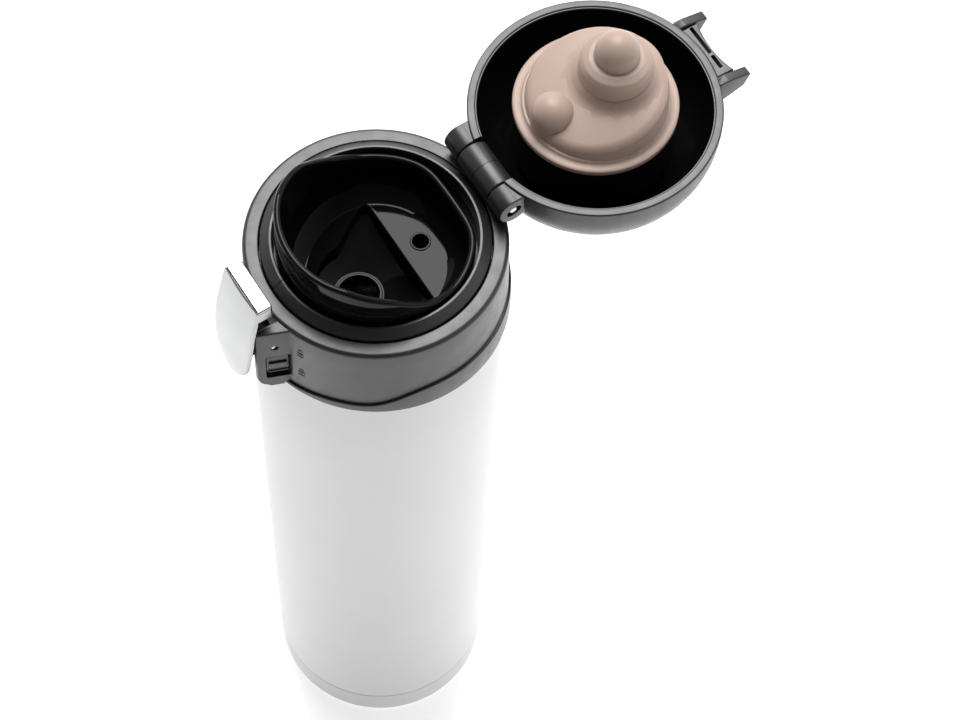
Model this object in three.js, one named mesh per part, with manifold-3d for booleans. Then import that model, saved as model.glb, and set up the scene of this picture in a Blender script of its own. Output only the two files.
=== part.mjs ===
// Insulated travel mug with a hinged, latched drinking lid.
// Millimetres, +Z up. Origin: centre of the underside. +Y towards the hinge,
// latch at -Y, hinge axis along X. Drawn with the lid swung fully open.
import * as THREE from 'three';
import { mergeVertices } from 'three/addons/utils/BufferGeometryUtils.js';
import Module from 'manifold-3d';

const wasm = await Module();
wasm.setup();

// ---- driving dimensions -------------------------------------------------
const GAP = 0.3;                 // clearance between touching pieces
const SEAM_Z = 11.25;            // seam between the base band and the shell
const BASE_R = 30.3;             // foot radius
const SEAM_R = 31.0;             // shell radius at the seam
const SHOULDER_Z = 204.2;        // where the steel wall turns in
const SHOULDER_R = 33.4;
const WALL = 0.8;                // steel sheet
const VACUUM = 2.4;              // vacuum space between the walls
const NECK_R = 30.2;             // outside of the steel neck
const RIM_Z = 224.5;             // top of the steel neck
const COLLAR_Z0 = 203.5;         // lower edge of the head
const COLLAR_Z1 = 230.6;         // flat shoulder of the head
const COLLAR_R0 = 35.0;          // skirt at its lower edge
const COLLAR_R1 = 33.9;          // collar at the shoulder
const COLLAR_BORE = 30.9;
const RING_R = 29.4;             // raised inner ring
const CUP_R = 25.5;              // drinking cup
const CUP_WALL = 1.9;
const CUP_LOW_Z = 232.0;         // rim on the hinge side
const CUP_HIGH_Z = 245.4;        // rim on the drinking side
const CUP_FLAT_Y = 23.6;         // flat on the hinge side
const FLOOR_Z = 218.4;           // half-moon platform
const POCKET_Z = 208.0;          // floor of the pocket round the drink hole
const SLOPE = 0.388;             // fall of the cup's floor towards the drinking side
const SLOPE_Z = 219.6;           // height of that sloping floor at y = 0
const DRINK_Y = -5.3, DRINK_R = 5.4, POCKET_R = 11.2;
const VENT_Y = 13.3, VENT_R = 2.05;
const HINGE_Y = 32.7, HINGE_Z = 236.0, HINGE_R = 4.35;
const BARREL_HALF = 6.9, KNUCKLE_IN = 7.2, KNUCKLE_OUT = 13.5;
const LID_R = 32.9;              // lid rim
const LID_H = 26.5;              // lid height
const LID_N = 2.5;               // fullness of the dome
const LID_RIM_Z = 231.0;         // rim height when shut
const LID_WALL = 1.5, LINER_WALL = 0.9;
const FIN_IN = 8.7, FIN_OUT = 11.4;
const FACE_TILT = 0.177;   // sloping face of the stopper, lid open
const BUTTON_TOP = 239.7, BUTTON_LOW = 206.2;
const PIN_Y = -35.6, PIN_Z = 222.7;
const SLIDER_TRAVEL = 2.5;
const LSEG = 40;                 // facets round the lid
const SEG = 36;                  // facets round the big pieces

// ---- helpers ------------------------------------------------------------
function toSolid(geo) {
  const g = geo.clone();
  for (const k of Object.keys(g.attributes)) if (k !== 'position') g.deleteAttribute(k);
  const m = mergeVertices(g, 1e-4);
  const p = m.attributes.position.array;
  const idx = m.index.array;
  const tri = [];
  let vol = 0;
  for (let i = 0; i < idx.length; i += 3) {
    const [a, b, c] = [idx[i], idx[i + 1], idx[i + 2]];
    if (a === b || b === c || c === a) continue;
    tri.push(a, b, c);
    vol += p[3 * a] * (p[3 * b + 1] * p[3 * c + 2] - p[3 * b + 2] * p[3 * c + 1])
      - p[3 * a + 1] * (p[3 * b] * p[3 * c + 2] - p[3 * b + 2] * p[3 * c])
      + p[3 * a + 2] * (p[3 * b] * p[3 * c + 1] - p[3 * b + 1] * p[3 * c]);
  }
  if (vol < 0) for (let i = 0; i < tri.length; i += 3) [tri[i + 1], tri[i + 2]] = [tri[i + 2], tri[i + 1]];
  return new wasm.Manifold(new wasm.Mesh({
    numProp: 3, vertProperties: new Float32Array(p), triVerts: new Uint32Array(tri),
  }));
}
function toGeo(solid) {
  const m = solid.getMesh();
  const g = new THREE.BufferGeometry();
  g.setAttribute('position', new THREE.BufferAttribute(new Float32Array(m.vertProperties), 3));
  g.setIndex(new THREE.BufferAttribute(new Uint32Array(m.triVerts), 1));
  g.computeVertexNormals();
  return g;
}
// profile: [r, z] points; it starts and ends on the axis or closes on itself
function revolve(profile, seg = 48, y = 0) {
  const pts = profile.map(([r, z]) => new THREE.Vector2(r, z));
  const g = new THREE.LatheGeometry(pts, seg);
  g.rotateX(Math.PI / 2);
  g.translate(0, y, 0);
  return g;
}
const ring = (profile, seg = 48, y = 0) => revolve([...profile, profile[0]], seg, y);
function shapeOf(pts) {
  return new THREE.Shape(pts.map(([a, b]) => new THREE.Vector2(a, b)));
}
// outline in Y,Z pushed along X
function prismX(pts, x0, x1) {
  const g = new THREE.ExtrudeGeometry(shapeOf(pts), { depth: x1 - x0, bevelEnabled: false, curveSegments: 8 });
  g.applyMatrix4(new THREE.Matrix4().makeBasis(new THREE.Vector3(0, 1, 0), new THREE.Vector3(0, 0, 1), new THREE.Vector3(1, 0, 0)));
  g.translate(x0, 0, 0);
  return g;
}
// outline in X,Z pushed along Y from y1 down to y0
function prismY(pts, y0, y1) {
  const g = new THREE.ExtrudeGeometry(shapeOf(pts), { depth: y1 - y0, bevelEnabled: false, curveSegments: 8 });
  g.applyMatrix4(new THREE.Matrix4().makeBasis(new THREE.Vector3(1, 0, 0), new THREE.Vector3(0, 0, 1), new THREE.Vector3(0, -1, 0)));
  g.translate(0, y1, 0);
  return g;
}
// outline in X,Y pushed along Z
function prismZ(pts, z0, z1) {
  const g = new THREE.ExtrudeGeometry(shapeOf(pts), { depth: z1 - z0, bevelEnabled: false, curveSegments: 8 });
  g.translate(0, 0, z0);
  return g;
}
function box(x0, x1, y0, y1, z0, z1) {
  const g = new THREE.BoxGeometry(x1 - x0, y1 - y0, z1 - z0);
  g.translate((x0 + x1) / 2, (y0 + y1) / 2, (z0 + z1) / 2);
  return g;
}
function rodX(r, x0, x1, y, z, seg = 24) {
  const g = new THREE.CylinderGeometry(r, r, x1 - x0, seg);
  g.rotateZ(Math.PI / 2);
  g.translate((x0 + x1) / 2, y, z);
  return g;
}
function rodZ(r, z0, z1, x, y, seg = 24) {
  const g = new THREE.CylinderGeometry(r, r, z1 - z0, seg);
  g.rotateX(Math.PI / 2);
  g.translate(x, y, (z0 + z1) / 2);
  return g;
}
function coil(axis, mean, wire, length, turns, centre, perTurn = 12, sides = 6) {
  const pts = [];
  const n = Math.round(turns * perTurn);
  for (let i = 0; i <= n; i++) {
    const a = (i / perTurn) * 2 * Math.PI;
    const s = (i / n - 0.5) * length;
    const [u, v] = [mean * Math.cos(a), mean * Math.sin(a)];
    pts.push(axis === 'x' ? new THREE.Vector3(s, u, v) : new THREE.Vector3(u, s, v));
  }
  const curve = new THREE.CatmullRomCurve3(pts.map((q) => q.add(centre)));
  const sec = [];
  for (let i = 0; i < sides; i++) {
    const a = (i / sides) * 2 * Math.PI;
    sec.push([wire * Math.cos(a), wire * Math.sin(a)]);
  }
  return new THREE.ExtrudeGeometry(shapeOf(sec), { steps: n, bevelEnabled: false, extrudePath: curve });
}
const S = toSolid;
const minus = (a, ...bs) => bs.reduce((t, b) => t.subtract(b), a);
const plus = (a, ...bs) => bs.reduce((t, b) => t.add(b), a);

const group = new THREE.Group();
function put(name, geo, color, roughness, metalness = 0) {
  const mesh = new THREE.Mesh(geo, new THREE.MeshStandardMaterial({ color, roughness, metalness }));
  mesh.name = name;
  group.add(mesh);
}
const WHITE = 0xeeeeec, GREY = 0x4a4a4c, BLACK = 0x0c0c0d, STEEL = 0xb9babb, CHROME = 0xe4e5e6, SILICONE = 0xd1b3a3;

// ---- flask --------------------------------------------------------------
const shellR = (z) => SEAM_R + (SHOULDER_R - SEAM_R) * (z - SEAM_Z) / (SHOULDER_Z - SEAM_Z);

put('outer_shell', toGeo(S(ring([
  [SEAM_R, SEAM_Z + 0.15], [SHOULDER_R, SHOULDER_Z],
  [33.0, 205.2], [31.4, 206.6], [NECK_R, 207.8],
  [NECK_R, 215.0], [NECK_R + 0.35, 215.8], [NECK_R, 216.6],
  [NECK_R, RIM_Z - 0.5], [NECK_R - 0.5, RIM_Z], [28.4, RIM_Z], [28.2, RIM_Z - 0.8],
  [NECK_R - WALL, RIM_Z - 0.8], [NECK_R - WALL, 207.4], [30.8, 206.0], [SHOULDER_R - WALL, 203.4],
  [SEAM_R - WALL, SEAM_Z + 0.15],
], SEG))), WHITE, 0.45);

put('base_cup', toGeo(S(ring([
  [SEAM_R - 0.02, SEAM_Z - 0.15], [BASE_R + 0.35, 3.2], [BASE_R, 1.2], [BASE_R - 1.2, 0],
  [26.4, 0], [26.4, 1.0], [29.0, 1.0], [29.9, 2.4], [SEAM_R - WALL - 0.02, SEAM_Z - 0.15],
], SEG))), WHITE, 0.45);

put('base_pad', toGeo(S(revolve([[0, 0], [26.1, 0], [26.1, 1.6], [0, 1.6]], SEG))), 0x55565a, 0.8);

put('outer_bottom', toGeo(S(revolve([
  [0, 5.0], [28.9, 5.0], [29.6, 5.7], [29.6, 16.5], [28.8, 16.5], [28.8, 5.8], [0, 5.8],
], SEG))), STEEL, 0.4, 1);

put('seal_bead', toGeo(S(revolve([[0, 2.2], [1.6, 2.5], [2.8, 3.6], [3.0, 4.7], [0, 4.7]], 12))), 0x3c4246, 0.3);

put('getter', toGeo(S(rodZ(6, 6.1, 8.6, 13, 0, 16))), STEEL, 0.5, 1);

const innerR = (z) => shellR(z) - WALL - VACUUM;     // outside of the inner wall
put('inner_vessel', toGeo(S(ring([
  [innerR(14), 14], [innerR(201), 201], [29.9, 204.0], [NECK_R - WALL - GAP, 207.6],
  [NECK_R - WALL - GAP, RIM_Z - 1.1],
  [28.3, RIM_Z - 1.1], [28.3, 207.4], [innerR(201) - WALL, 202.4],
  [innerR(14) - WALL, 14],
], SEG))), STEEL, 0.35, 1);

put('inner_bottom', toGeo(S(revolve([
  [0, 12.6], [23.5, 12.6], [innerR(14) - WALL - GAP, 15.2], [innerR(14) - WALL - GAP, 19],
  [innerR(14) - WALL - GAP - 0.7, 19], [innerR(14) - WALL - GAP - 0.7, 15.7], [23.2, 13.4], [0, 13.4],
], SEG))), STEEL, 0.35, 1);

// ---- lid profile, shared by the lid and the relief it needs --------------
// heights in the open position: the rim faces up
const OPEN_RIM = 2 * HINGE_Z - LID_RIM_Z;
const LID_Y = 2 * HINGE_Y;
function dome(off, n = 8) {
  // points of the outer dome moved inwards by off, from the rim down to the crown
  const raw = [];
  for (let i = 0; i <= 60; i++) {
    const t = (i / 60) * Math.PI / 2;
    raw.push([LID_R * Math.pow(Math.cos(t), 2 / LID_N), OPEN_RIM - LID_H * Math.pow(Math.sin(t), 2 / LID_N)]);
  }
  const out = [];
  for (let k = 0; k <= n; k++) {
    const i = Math.round(60 * k / n);
    const a = raw[Math.max(0, i - 1)], b = raw[Math.min(60, i + 1)];
    let [dx, dz] = [b[0] - a[0], b[1] - a[1]];
    const l = Math.hypot(dx, dz);
    // inward normal: towards the axis and up
    let nx = dz / l, nz = -dx / l;
    if (k === 0) { nx = -1; nz = 0; }
    if (k === n) { nx = 0; nz = 1; }
    out.push([Math.max(0, raw[i][0] + nx * off), raw[i][1] + nz * off]);
  }
  out[n][0] = 0;
  return out;
}

// ---- head: collar, skirt, ring -------------------------------------------
// height of the wavy parting line against the angle from the latch side
const WAVE = [[0, 204.6], [18, 204.8], [39, 206.3], [54, 206.6], [60, 207.2], [67, 208.8], [74, 210.6], [82, 211.7], [93, 212.0], [180, 212.0]];
function waveZ(x, y) {
  const a = Math.abs(Math.atan2(x, -y)) * 180 / Math.PI;
  for (let i = 1; i < WAVE.length; i++) {
    if (a <= WAVE[i][0]) {
      const t = (a - WAVE[i - 1][0]) / (WAVE[i][0] - WAVE[i - 1][0]);
      return WAVE[i - 1][1] + t * (WAVE[i][1] - WAVE[i - 1][1]);
    }
  }
  return WAVE[WAVE.length - 1][1];
}
function follow(geo, mark, shift) {
  // moves the points at height mark onto the wavy line
  const p = geo.attributes.position;
  for (let i = 0; i < p.count; i++) {
    if (Math.abs(p.getZ(i) - mark) < 1e-3) p.setZ(i, waveZ(p.getX(i), p.getY(i)) + shift);
  }
  return geo;
}
const skirt = S(follow(ring([
  [33.72, COLLAR_Z0], [COLLAR_R0 - 0.4, COLLAR_Z0], [COLLAR_R0, COLLAR_Z0 + 0.4], [34.85, 999], [33.72, 999],
], 48), 999, -0.15));

const outerSkin = S(follow(ring([
  [34.15, 999], [COLLAR_R1 + 0.1, 224], [COLLAR_R1, COLLAR_Z1 - 0.8], [COLLAR_R1 - 0.8, COLLAR_Z1], [31.5, COLLAR_Z1], [31.5, 209.5], [33.42, 208.2], [33.42, 999],
], 48), 999, 0.15));
const core = S(ring([
  [33.42, 208.6], [33.42, 227], [COLLAR_R1 - 1.2, COLLAR_Z1], [29.9, COLLAR_Z1], [29.75, COLLAR_Z1 - 0.2], [29.75, RIM_Z + 0.4],
  [COLLAR_BORE, RIM_Z + 0.4], [COLLAR_BORE, 208.6],
], SEG));

// latch housing: two cheeks that flare into the collar
const cheek = (s) => {
  const pts = [[7.0 * s, -31.0], [7.0 * s, -39.9], [8.3 * s, -40.2], [11.4 * s, -32.0], [11.4 * s, -31.0]];
  if (s < 0) pts.reverse();
  return S(prismZ(pts, COLLAR_Z0, 230.0));
};
const cheekSide = S(prismX([[-31, COLLAR_Z0], [-36.6, COLLAR_Z0], [-39.2, 205.2], [-40.4, 208.8], [-40.2, 230], [-31, 230]], -14, 14));
let housing = plus(cheek(1), cheek(-1)).intersect(cheekSide);
const bowl = S(ring([[0.001, 200], [33.3, 200], [33.3, 232], [0.001, 232]], SEG));
housing = minus(housing, bowl);
// keep clear of the skirt below the wavy line
const skirtRoom = S(follow(ring([[31.0, 200], [COLLAR_R0 + 0.3, 200], [COLLAR_R0 + 0.3, 999], [31.0, 999]], 48), 999, 0.15));

const barrel = plus(
  S(rodX(HINGE_R, -BARREL_HALF, BARREL_HALF, HINGE_Y, HINGE_Z, 24)),
  S(box(-BARREL_HALF, BARREL_HALF, 29.95, 33.3, 229.8, HINGE_Z)),
);
const pinHole = S(rodX(1.55, -20, 20, HINGE_Y, HINGE_Z, 16));
const springRoom = S(rodX(3.1, -5.4, 5.4, HINGE_Y, HINGE_Z, 20));
const lidRelief = S(revolve([[0, OPEN_RIM + 1], [LID_R + 0.4, OPEN_RIM + 1], ...dome(-0.4, 6)], SEG, LID_Y));

let collar = plus(outerSkin, core, minus(housing, skirtRoom));
// recess for the lever between the cheeks
collar = minus(collar, S(box(-7.0, 7.0, -36, -31.95, 207.6, 229.9)));
collar = minus(collar, lidRelief);
collar = plus(collar, barrel);
collar = minus(collar, pinHole, springRoom);
// window for the slider and hole for the latch pin
const winY0 = -38.0, winY1 = -31.9, winZ0 = 207.9, winZ1 = 218.7;
collar = minus(collar, S(box(6.0, 13, winY0, winY1, winZ0, winZ1)));
collar = minus(collar, S(rodX(1.0, -14, 14, PIN_Y, PIN_Z, 14)));
put('collar', toGeo(collar), GREY, 0.55);
put('collar_skirt', toGeo(skirt), GREY, 0.55);

put('inner_ring', toGeo(S(ring([
  [26.3, 227.2], [RING_R, 227.2], [RING_R, 231.0], [28.9, 231.5], [27.0, 232.9], [26.3, 232.9],
], SEG))), GREY, 0.5);

// ---- drinking cup ---------------------------------------------------------
let cup = S(revolve([
  [0, 204.2], [26.6, 204.2], [27.2, 204.8], [27.2, 224.9], [29.4, 225.9], [29.4, 226.9], [CUP_R, 226.9],
  [CUP_R, 250], [0, 250],
], SEG));
cup = minus(cup, S(revolve([[0, FLOOR_Z], [CUP_R - CUP_WALL - 1.2, FLOOR_Z], [CUP_R - CUP_WALL, FLOOR_Z + 1.2], [CUP_R - CUP_WALL, 251], [0, 251]], SEG)));
// flat on the hinge side, above the ring
const flatOut = S(box(-30, 30, CUP_FLAT_Y, 40, 227.5, 252));
const flatIn = S(box(-12, 12, CUP_FLAT_Y - CUP_WALL, CUP_FLAT_Y + 0.01, 219, 231.9));
cup = minus(cup, flatOut);
cup = plus(cup, S(box(-9.0, 9.0, CUP_FLAT_Y - CUP_WALL, CUP_FLAT_Y, FLOOR_Z - 0.2, 252)));
// rim cut: low at the hinge, rising to the drinking side
const RIM_CUT = [[40, CUP_LOW_Z], [11, CUP_LOW_Z], [6, 232.3], [1.3, 234.2], [-2, 236.2], [-4.5, 238.0], [-8.8, 241.0], [-11.5, 242.3], [-15.4, 243.4], [-20, 244.6], [-26, CUP_HIGH_Z], [-40, CUP_HIGH_Z]];
cup = minus(cup, S(prismX([[40, 260], ...RIM_CUT, [-40, 260]], -40, 40)));
// hollow underneath, leaving the walls of the pocket
const tear = (r, off) => {
  // pocket outline: straight edge towards the hinge, narrowing to a round end
  const pts = [];
  const e = 7.3 + off;
  const side = [[17.5 + 1.6 * off, e], [15.6 + 0.9 * off, 2.1 - 0.4 * off], [13.4 + 0.9 * off, -1.4 - 0.3 * off], [11.9 + 0.95 * off, -3.7 - 0.1 * off]];
  pts.push(...side);
  for (let i = 0; i <= 10; i++) {
    const a = -i * 18 * Math.PI / 180;
    pts.push([(r + off) * Math.cos(a), DRINK_Y + (r + off) * Math.sin(a)]);
  }
  pts.push(...side.map(([x, y]) => [-x, y]).reverse());
  return pts;
};
// sloping floor on the drinking side, inside a cone that leaves the stopper its way in
const slopeZ = (y) => SLOPE_Z + SLOPE * y;
const over = (drop) => S(prismX([[8, slopeZ(8) - drop], [8, 240], [-30, 240], [-30, slopeZ(-30) - drop]], -30, 30));
const cone = (off) => S(revolve([[0, 203], [17.1 + off, 203], [CUP_R - CUP_WALL + off, 224], [CUP_R - CUP_WALL + off, 232], [0, 232]], SEG));
const slopeBody = cone(1.7).intersect(over(2.1)).intersect(S(revolve([[0, 200], [25.2, 200], [25.2, 217], [0, 217]], SEG)));
const under = minus(
  S(revolve([[0, 203], [25.3, 203], [25.3, FLOOR_Z - 1.9], [0, FLOOR_Z - 1.9]], SEG)),
  S(prismZ(tear(POCKET_R, 1.6), POCKET_Z - 1.8, 240)),
  slopeBody,
);
cup = minus(cup, under);
cup = minus(cup, cone(-0.02).intersect(over(0)));
const funnel = S(revolve([[0, POCKET_Z], [6.6, POCKET_Z], [24, POCKET_Z + 3.8], [24, 230], [0, 230]], SEG, DRINK_Y));
cup = minus(cup, S(prismZ(tear(POCKET_R, 0), POCKET_Z, 230)).intersect(funnel));
cup = minus(cup, S(rodZ(DRINK_R, 200, 212, 0, DRINK_Y, 28)));
cup = minus(cup, S(rodZ(VENT_R, 200, 222, 0, VENT_Y, 16)));
put('spout_cup', toGeo(cup), BLACK, 0.12);

put('spout_seal', toGeo(S(ring([[28.4, 224.8], [29.4, 224.8], [29.4, 225.4], [28.4, 225.1]], 28))), 0xd8d8d4, 0.7);

// ---- hinge pieces ---------------------------------------------------------
put('hinge_pin', toGeo(S(rodX(1.25, -13.3, 13.3, HINGE_Y, HINGE_Z, 16))), STEEL, 0.3, 1);
put('hinge_spring', toGeo(S(coil('x', 2.35, 0.4, 8.6, 5, new THREE.Vector3(0, HINGE_Y, HINGE_Z), 8, 4))), STEEL, 0.3, 1);

// ---- lid, swung open ------------------------------------------------------
const outDome = dome(0), inShell = dome(LID_WALL), outLiner = dome(LID_WALL + GAP), inLiner = dome(LID_WALL + GAP + LINER_WALL);
let lid = S(revolve([...[...outDome].reverse().slice(0), [LID_R - LID_WALL, OPEN_RIM], ...inShell.slice(1)], LSEG, LID_Y));
const knuckle = (s) => {
  const [a, b] = s > 0 ? [KNUCKLE_IN, KNUCKLE_OUT] : [-KNUCKLE_OUT, -KNUCKLE_IN];
  return plus(
    S(rodX(HINGE_R, a, b, HINGE_Y, HINGE_Z, 24)),
    S(box(a, b, HINGE_Y + 0.2, HINGE_Y + 5.0, HINGE_Z - 2.6, OPEN_RIM - 0.65)),
  );
};
const inside = S(revolve([[0, OPEN_RIM + 1], [LID_R - LID_WALL, OPEN_RIM + 1], ...inShell], LSEG, LID_Y));
const linerRoom = S(revolve([[0, OPEN_RIM + 3], [LID_R - LID_WALL, OPEN_RIM + 3], ...inShell], LSEG, LID_Y));
lid = plus(lid, minus(knuckle(1), linerRoom), minus(knuckle(-1), linerRoom));
// side fins round the latch
const finSide = [[31.0, OPEN_RIM - 0.05], [33.5, OPEN_RIM - 0.1], [40.2, 239.5], [40.4, 238.9], [38.8, 235.6], [38.2, 235.1], [33, 233.2], [31.0, 233.2]];
const fins = [[FIN_IN, FIN_OUT], [-FIN_OUT, -FIN_IN]].map(([a, b]) => minus(S(prismX(finSide.map(([u, z]) => [LID_Y + u, z]).reverse(), a, b)), inside));
lid = plus(lid, ...fins);
// room for the middle barrel and its web
const notch = S(rodX(6.5, -7.3, 7.3, HINGE_Y, HINGE_Z, 32));
lid = minus(lid, notch, pinHole);
put('lid_shell', toGeo(lid), GREY, 0.55);

let liner = S(revolve([...[...outLiner].reverse(), [LID_R - LID_WALL - GAP - LINER_WALL, OPEN_RIM - 0.05], ...inLiner.slice(1)], LSEG, LID_Y));
liner = minus(liner, notch,
  S(rodX(HINGE_R + 0.3, -14, 14, HINGE_Y, HINGE_Z, 24)));
put('lid_liner', toGeo(liner), BLACK, 0.12);

// bar that the button's hook goes over
const barPts = [];
for (let i = 0; i <= 8; i++) { const x = -8.4 + i * 16.8 / 8; barPts.push([x, LID_Y + 35.6 + 1.3 * Math.pow(Math.abs(x) / 8.4, 2)]); }
barPts.push([8.4, LID_Y + 30.6], [-8.4, LID_Y + 30.6]);
const lidOuter = S(revolve([[0, OPEN_RIM + 2], [LID_R + GAP, OPEN_RIM + 2], ...dome(-GAP)], LSEG, LID_Y));
put('lid_catch', toGeo(minus(S(prismZ(barPts, 237.3, 240.2)), lidOuter)), GREY, 0.5);

// plinth and silicone sealing piece on the lid's axis
const crownIn = OPEN_RIM - LID_H + LID_WALL + GAP + LINER_WALL;
put('stopper_holder', toGeo(S(revolve([
  [0, crownIn + 0.35], [7, crownIn + 0.4], [11, crownIn + 1.0], [14.5, 219.4], [19.6, 222.5], [20.6, 224.5], [20.6, 241.0], [0, 241.0],
], 28, LID_Y))), BLACK, 0.12);
const SEAT = 241.3;
let plug = S(revolve([[0, SEAT], [21.2, SEAT], [21.7, SEAT + 0.5], [21.7, SEAT + 1.4], [21.2, SEAT + 1.9], [0, SEAT + 1.9]], 32, LID_Y));
// slightly domed platform whose face rises towards the latch
const wedge = revolve([[0, SEAT + 0.5], [18.8, SEAT + 0.5], [18.4, 247.4], [17.8, 249.0], [16.8, 249.9], [13.5, 251.0], [7, 251.9], [0, 252.1]], 32, LID_Y);
{
  const p = wedge.attributes.position;
  for (let i = 0; i < p.count; i++) if (p.getZ(i) > SEAT + 2) p.setZ(i, p.getZ(i) + FACE_TILT * (p.getY(i) - LID_Y));
}
plug = plus(plug, S(wedge));
const bigY = HINGE_Y * 2 - DRINK_Y, smallY = HINGE_Y * 2 - VENT_Y;
plug = plus(plug,
  S(revolve([[0, 246], [9.5, 246], [9.5, 256.6], [8.8, 258.4], [7.4, 259.4], [5.6, 259.7], [5.6, 260.6], [0, 261]], 24, bigY)));
const ballB = new THREE.SphereGeometry(5.7, 20, 10); ballB.rotateX(Math.PI / 2); ballB.translate(0, bigY, 261.5);
const ballS = new THREE.SphereGeometry(5.7, 20, 10); ballS.rotateX(Math.PI / 2); ballS.translate(0, smallY, 248.0);
plug = plus(plug, S(ballB), S(ballS), S(revolve([[0, 243], [5.4, 243], [5.4, 247.0], [0, 248]], 20, smallY)));
put('stopper_gasket', toGeo(plug), SILICONE, 0.6);

// ---- latch ----------------------------------------------------------------
const side = [[-39.2, BUTTON_TOP], [-40.4, 235.5], [-41.6, 229.5], [-42.7, 223.0], [-43.5, 216.0], [-44.0, 210.5], [-44.1, BUTTON_LOW],
  [-42.6, BUTTON_LOW], [-42.5, 210.5], [-42.0, 216.0], [-41.3, 223.0], [-40.4, 229.5], [-39.3, 234.0], [-38.6, 235.2], [-34.3, 235.2], [-34.3, 239.2], [-34.8, BUTTON_TOP]];
const outline = [[-8.1, BUTTON_TOP + 0.01], [-8.6, 233], [-8.9, 226], [-8.8, 220], [-8.3, 214.5], [-7.0, 210.4], [-4.6, 207.6], [-2.0, BUTTON_LOW - 0.01]];
const shield = [...outline, ...[...outline].reverse().map(([x, z]) => [-x, z])];
put('latch_button', toGeo(S(prismX(side, -10, 10)).intersect(S(prismY(shield, -50, -30)))), CHROME, 0.15, 1);

const leverSide = [[-40.1, 228.8], [-40.95, 223.0], [-41.6, 217.0], [-42.1, 211.5], [-41.0, 211.5], [-40.0, 217.5], [-38.0, 219.3], [-36.5, 220.0],
  [-34.6, 220.2], [-33.3, 221.6], [-33.3, 223.8], [-34.6, 225.2], [-36.6, 226.0], [-38.3, 227.4], [-39.4, 228.8]];
put('latch_lever', toGeo(minus(S(prismX(leverSide, -6.6, 6.6)), S(rodX(1.3, -9, 9, PIN_Y, PIN_Z, 16)))), 0x1c1c1e, 0.5);
put('latch_pin', toGeo(S(rodX(0.7, -9.8, 9.8, PIN_Y, PIN_Z, 14))), STEEL, 0.25, 1);
put('latch_spring', toGeo(S(coil('y', 1.8, 0.3, 6.6, 5, new THREE.Vector3(0, -36.2, 214.2), 8, 4))), STEEL, 0.3, 1);

// lock slider in its window; outer face follows the flare of the cheek
const slX = (y) => 8.3 + (y + 40.2) * (3.1 / 8.2);
const sl = [[7.3, winY0 + GAP], [slX(winY0 + GAP) - 0.25, winY0 + GAP], [slX(winY1 - GAP) - 0.25, winY1 - GAP], [7.3, winY1 - GAP]];
const slider = minus(
  plus(
    S(prismZ(sl, winZ0 + SLIDER_TRAVEL + GAP, winZ1 - GAP)),
    S(prismZ([[8.0, -37.2], [slX(-37.2) + 0.35, -37.2], [slX(-32.9) + 0.35, -32.9], [8.0, -32.9]], 213.6, 215.4)),
  ),
  bowl.translate([0, 0, 0]),
);
put('lock_slider', toGeo(slider), 0x2a2a2c, 0.5);

export default group;
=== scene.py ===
import bpy, bmesh, math
import numpy as np
from mathutils import Matrix, Vector


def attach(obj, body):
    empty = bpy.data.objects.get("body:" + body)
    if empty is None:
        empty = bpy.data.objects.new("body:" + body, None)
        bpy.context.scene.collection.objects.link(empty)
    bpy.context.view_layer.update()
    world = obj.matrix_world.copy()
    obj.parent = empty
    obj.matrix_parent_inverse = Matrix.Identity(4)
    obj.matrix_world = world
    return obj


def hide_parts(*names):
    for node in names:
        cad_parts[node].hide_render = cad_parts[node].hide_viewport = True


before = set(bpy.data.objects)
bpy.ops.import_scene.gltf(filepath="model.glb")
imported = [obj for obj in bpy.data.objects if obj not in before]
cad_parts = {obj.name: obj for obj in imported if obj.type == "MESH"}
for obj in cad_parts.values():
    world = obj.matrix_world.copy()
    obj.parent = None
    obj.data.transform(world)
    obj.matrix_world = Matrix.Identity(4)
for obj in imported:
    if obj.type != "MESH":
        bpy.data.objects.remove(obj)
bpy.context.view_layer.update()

# ---------------------------------------------------------------- sizes, mm
SEAM_Z, SEAM_R, BASE_R = 11.25, 31.0, 30.3
SHOULDER_Z, SHOULDER_R, WALL, VACUUM = 204.2, 33.4, 0.8, 2.4
NECK_R, RIM_Z = 30.2, 224.5
COLLAR_Z0, COLLAR_Z1, COLLAR_R0, COLLAR_R1 = 203.5, 230.6, 35.0, 33.9
RING_R, CUP_R, CUP_WALL, CUP_FLAT = 29.4, 25.5, 1.9, 23.6
FLOOR_Z, POCKET_Z, POCKET_R, SLOPE = 218.4, 208.0, 11.2, 0.25
DRINK_Y, DRINK_R, VENT_Y, VENT_R = -5.3, 5.4, 13.3, 2.05
HY, HZ, HR = 32.7, 236.0, 4.35
LID_R, LID_H, LID_N, OPEN_RIM, LID_Y = 32.9, 26.5, 2.5, 241.0, 65.4
LID_WALL, LINER_WALL = 1.5, 0.9
BUTTON_TOP, BUTTON_LOW, PIN_Y, PIN_Z = 239.7, 206.2, -35.6, 222.7
GAP = 0.3


# ---------------------------------------------------------------- mesh tools
def new_obj(name, verts, faces):
    me = bpy.data.meshes.new(name)
    me.from_pydata([tuple(v) for v in verts], [], [tuple(f) for f in faces])
    bm = bmesh.new(); bm.from_mesh(me)
    bmesh.ops.remove_doubles(bm, verts=bm.verts, dist=1e-4)
    bmesh.ops.recalc_face_normals(bm, faces=bm.faces)
    if bm.calc_volume(signed=True) < 0:
        bmesh.ops.reverse_faces(bm, faces=bm.faces)
    bm.to_mesh(me); bm.free()
    o = bpy.data.objects.new(name, me)
    bpy.context.scene.collection.objects.link(o)
    return o


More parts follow.
